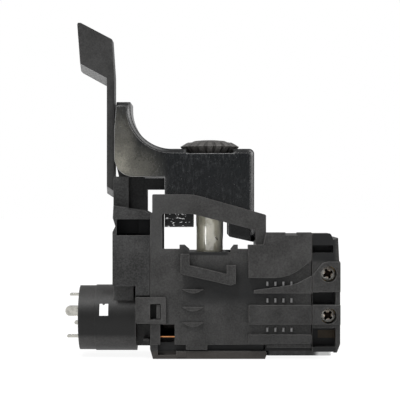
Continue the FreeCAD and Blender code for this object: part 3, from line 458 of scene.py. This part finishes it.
def cross_screw(name, stands_for, turn):
    """A closed surface of revolution about Y: its profile runs from the middle of the head
    over a low dome, round the rim, under the head and down the shank to its tip. The head is
    pressed in where the four-armed outline lies, by a depth that grows over a short taper."""
    low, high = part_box(stands_for)
    centre_x, centre_z = (low[0] + high[0]) / 2, (low[2] + high[2]) / 2
    dome_rings, dome_share, dome_at_rim = 44, 0.93, 0.865
    across = np.linspace(0, screw_head * dome_share, dome_rings)
    rim_radius = screw_head * 0.07
    rim_turn = np.linspace(0, np.pi / 2, 7)[1:]
    radius = np.concatenate([
        across, screw_head * dome_share + rim_radius * np.sin(rim_turn),
        [screw_head, shank_radius, shank_radius, 0.0]])
    depth = np.concatenate([
        screw_dome * (across / screw_head) ** 2,
        screw_dome * dome_at_rim + rim_radius * (1 - np.cos(rim_turn)),
        [head_depth, head_depth, screw_length, screw_length]])
    angle = np.linspace(0, 2 * np.pi, 96, endpoint=False)
    reach, around = np.meshgrid(radius[1:-1], angle, indexing="ij")
    x = reach * np.cos(around)
    z = reach * np.sin(around)
    along, beside = np.abs(x), np.abs(z)
    arm_half, arm_end, eye = 0.00046, 0.00168, 0.00098
    taper, recess_depth = 0.00026, 0.0011
    outline = np.minimum(np.minimum(np.maximum(beside - arm_half, along - arm_end),
                                    np.maximum(along - arm_half, beside - arm_end)),
                         np.hypot(x, z) - eye)
    pressed = np.clip(-outline / taper, 0, 1)
    on_dome = np.arange(len(radius) - 2)[:, None] < dome_rings - 1
    pressed = pressed * pressed * (3 - 2 * pressed) * on_dome
    y = depth[1:-1][:, None] + recess_depth * pressed
    turned_x = x * math.cos(turn) - z * math.sin(turn)
    turned_z = x * math.sin(turn) + z * math.cos(turn)
    points = np.stack([centre_x + turned_x, screw_face + y, centre_z + turned_z], axis=-1).reshape(-1, 3)
    middle = np.array([
        [centre_x, screw_face + recess_depth, centre_z],
        [centre_x, screw_face + screw_length, centre_z]])
    rings, steps = len(radius) - 2, len(angle)
    ring, step = np.meshgrid(np.arange(rings - 1), np.arange(steps), indexing="ij")
    ahead = (step + 1) % steps
    quads = np.stack([ring * steps + step, (ring + 1) * steps + step,
                      (ring + 1) * steps + ahead, ring * steps + ahead], axis=-1).reshape(-1, 4)
    step = np.arange(steps)
    ahead = (step + 1) % steps
    hub, tip = rings * steps, rings * steps + 1
    fan = np.stack([np.full(steps, hub), step, ahead], axis=-1)
    end = (rings - 1) * steps
    foot = np.stack([np.full(steps, tip), end + ahead, end + step], axis=-1)
    mesh = bpy.data.meshes.new(name)
    faces = quads.tolist() + fan.tolist() + foot.tolist()
    mesh.from_pydata(np.concatenate([points, middle]).tolist(), [], faces)
    mesh.shade_smooth()
    mesh.materials.append(plated_head(name + "_plated", centre_x, centre_z))
    piece = bpy.data.objects.new(name, mesh)
    scene.collection.objects.link(piece)
    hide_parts(stands_for)
    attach(piece, "switch_body")


cross_screw("screw_upper", "terminal_screw_upper", 0.45)
cross_screw("screw_lower", "terminal_screw_lower", 0.85)

# Return spring: a coil of round spring wire, between the body's floor and the
# contact carrier.
spring_low, spring_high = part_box("return_spring")
slides = frame["record"]["behaviour"]["joints"]
travel = next(joint for joint in slides if joint["name"] == "trigger_slide")["range_m"][1]


def coil_spring(name, stands_for, wire_radius, turns):
    """A tube along a helix: at share s of its length the centre is at angle 2 pi turns s, on the
    coil's mean radius. It climbs by 0.35 s + 0.65 (3 s^2 - 2 s^3), so that the end turns are flatter."""
    coil_radius = (spring_high[0] - spring_low[0]) / 2 - wire_radius
    foot, crown = spring_low[2] + wire_radius, spring_high[2] - wire_radius
    steps_per_turn, sides = 40, 12
    share = np.linspace(0, 1, turns * steps_per_turn + 1)
    turn = 2 * np.pi * turns * share
    level = foot + (crown - foot) * (0.35 * share + 0.65 * (3 * share ** 2 - 2 * share ** 3))
    around = np.linspace(0, 2 * np.pi, sides, endpoint=False)
    reach = coil_radius + wire_radius * np.cos(around)[None, :]
    points = np.stack([reach * np.cos(turn)[:, None], reach * np.sin(turn)[:, None],
                       level[:, None] + wire_radius * np.sin(around)[None, :]], axis=-1).reshape(-1, 3)
    ring, side = np.meshgrid(np.arange(len(share) - 1), np.arange(sides), indexing="ij")
    beside = (side + 1) % sides
    quads = np.stack([(ring + 1) * sides + side, (ring + 1) * sides + beside,
                      ring * sides + beside, ring * sides + side], axis=-1).reshape(-1, 4)
    start = list(range(sides))
    stop = [(len(share) - 1) * sides + place for place in reversed(range(sides))]
    mesh = bpy.data.meshes.new(name)
    mesh.from_pydata(points.tolist(), [], quads.tolist() + [start, stop])
    mesh.shade_smooth()
    mesh.materials.append(bpy.data.materials["spring_wire"])
    piece = bpy.data.objects.new(name, mesh)
    scene.collection.objects.link(piece)
    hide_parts(stands_for)
    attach(piece, "switch_body")
    1 - travel / (spring_high[2] - spring_low[2])
    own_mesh(piece)


coil_spring("return_coil", "return_spring", 0.0003, 6)

# Inner mouldings of brown phenolic, and the green lacquered board with its
# woven glass, which hardly show from outside.
inner_finish = moulded("inner_phenolic", 0.070, 0.25, 0.5, 0.0001, 0.00001)
dress(inner_finish, "contact_carrier", "reversing_slider", "capacitor", "triac")
board_finish = Finish("board_lacquered")
weave = board_finish.noise(1800, 2, 0.5)
green = board_finish.mix(weave, (0.03, 0.10, 0.04, 1), (0.05, 0.15, 0.06, 1))
board_finish.shape(Base_Color=green, Roughness=0.4)
dress(board_finish, "circuit_board")

# Studio: a white floor that shows the contact shadow, under white surroundings
# that are duller towards the viewer and have a bright hoop on the right. The
# lamps are a key above at the left, a weak one at the right and a tall strip.
floor_half = 3.0
floor_level = -0.0002
floor_mesh = bpy.data.meshes.new("floor")
floor_mesh.from_pydata(
    [(-floor_half, -floor_half, floor_level), (floor_half, -floor_half, floor_level),
     (floor_half, floor_half, floor_level), (-floor_half, floor_half, floor_level)],
    [], [(0, 1, 2, 3)])
floor = bpy.data.objects.new("floor", floor_mesh)
scene.collection.objects.link(floor)


def seen(tree):
    """1 for the rays that show a background: straight, mirrored and through glass."""
    path = tree.nodes.new("ShaderNodeLightPath")
    total = path.outputs["Is Camera Ray"]
    for kind in ("Is Glossy Ray", "Is Transmission Ray"):
        more = tree.nodes.new("ShaderNodeMath")
        more.operation = "MAXIMUM"
        tree.links.new(total, more.inputs[0])
        tree.links.new(path.outputs[kind], more.inputs[1])
        total = more.outputs[0]
    return total


floor_finish = Finish("floor_white")
floor_finish.shape(Base_Color=(0.90, 0.90, 0.90, 1), Roughness=0.9, Specular_IOR_Level=0.0)
glow = floor_finish.tree.nodes.new("ShaderNodeEmission")
glow.inputs["Strength"].default_value = 1.06
lit = floor_finish.tree.nodes.new("ShaderNodeMixShader")
floor_finish.feed(lit.inputs[0], Socket(floor_finish, seen(floor_finish.tree)) * 0.86)
floor_finish.tree.links.new(floor_finish.shader.outputs[0], lit.inputs[1])
floor_finish.tree.links.new(glow.outputs[0], lit.inputs[2])
floor_finish.tree.links.new(lit.outputs[0], floor_finish.tree.nodes["Material Output"].inputs["Surface"])
floor_mesh.materials.append(floor_finish.material)

world = bpy.data.worlds.new("studio")
world.use_nodes = True
sky = world.node_tree


def sky_node(kind, operation, first, second=None):
    """Add a node to the sky and return its first output, or the last of a dot product."""
    made = sky.nodes.new(kind)
    if operation:
        made.operation = operation
    for place, value in enumerate((first, second)):
        if hasattr(value, "is_linked"):
            sky.links.new(value, made.inputs[place])
        elif value is not None:
            made.inputs[place].default_value = value
    return made.outputs["Value"] if operation == "DOT_PRODUCT" else made.outputs[0]


def sky_ramp(value, low, high, start, end):
    """Map low to start and high to end, smoothly, and hold outside."""
    made = sky.nodes.new("ShaderNodeMapRange")
    made.interpolation_type = "SMOOTHSTEP"
    sky.links.new(value, made.inputs["Value"])
    for name, number in (("From Min", low), ("From Max", high), ("To Min", start), ("To Max", end)):
        made.inputs[name].default_value = number
    return made.outputs[0]


heading = sky.nodes.new("ShaderNodeTexCoord").outputs["Generated"]


def sky_along(direction):
    """How far the heading points along a direction, as a dot product."""
    return sky_node("ShaderNodeVectorMath", "DOT_PRODUCT", heading, direction)


tent = sky_ramp(sky_along((0, -0.985, -0.17)), 0.55, 0.95, 0.58, 0.30)
depth_part = sky_node("ShaderNodeMath", "ABSOLUTE", sky_along((0, 1, 0)))
right_part = sky_ramp(sky_along((0.94, 0, 0.34)), 0.30, 0.75, 0.0, 1.0)
hoop = sky_node("ShaderNodeMath", "MULTIPLY", sky_ramp(depth_part, 0.16, 0.08, 0.0, 7.0), right_part)
tent = sky_node("ShaderNodeMath", "ADD", tent, hoop)
straight = sky.nodes.new("ShaderNodeLightPath").outputs["Is Camera Ray"]
whole = sky.nodes.new("ShaderNodeMix")
sky.links.new(straight, whole.inputs[0])
sky.links.new(tent, whole.inputs[2])
whole.inputs[3].default_value = 1.0
backdrop = sky.nodes["Background"]
backdrop.inputs["Color"].default_value = (1, 1, 1, 1)
sky.links.new(whole.outputs[0], backdrop.inputs["Strength"])
scene.world = world


def softbox(name, place, target, size, tall, power):
    """A rectangular area lamp that faces a point."""
    data = bpy.data.lights.new(name, "AREA")
    data.shape = "RECTANGLE"
    data.size = size
    data.size_y = tall
    data.energy = power
    lamp = bpy.data.objects.new(name, data)
    lamp.location = place
    lamp.rotation_euler = (Vector(target) - Vector(place)).to_track_quat("-Z", "Y").to_euler()
    scene.collection.objects.link(lamp)


softbox("key", (-0.20, -0.36, 0.70), (0, 0, 0.05), 0.14, 0.14, 4.2)
softbox("right", (0.62, -0.06, 0.25), (0, 0, 0.06), 0.20, 0.20, 0.9)
softbox("strip", (-0.30, -0.42, 0.06), (0, 0, 0.04), 0.05, 0.40, 0.40)
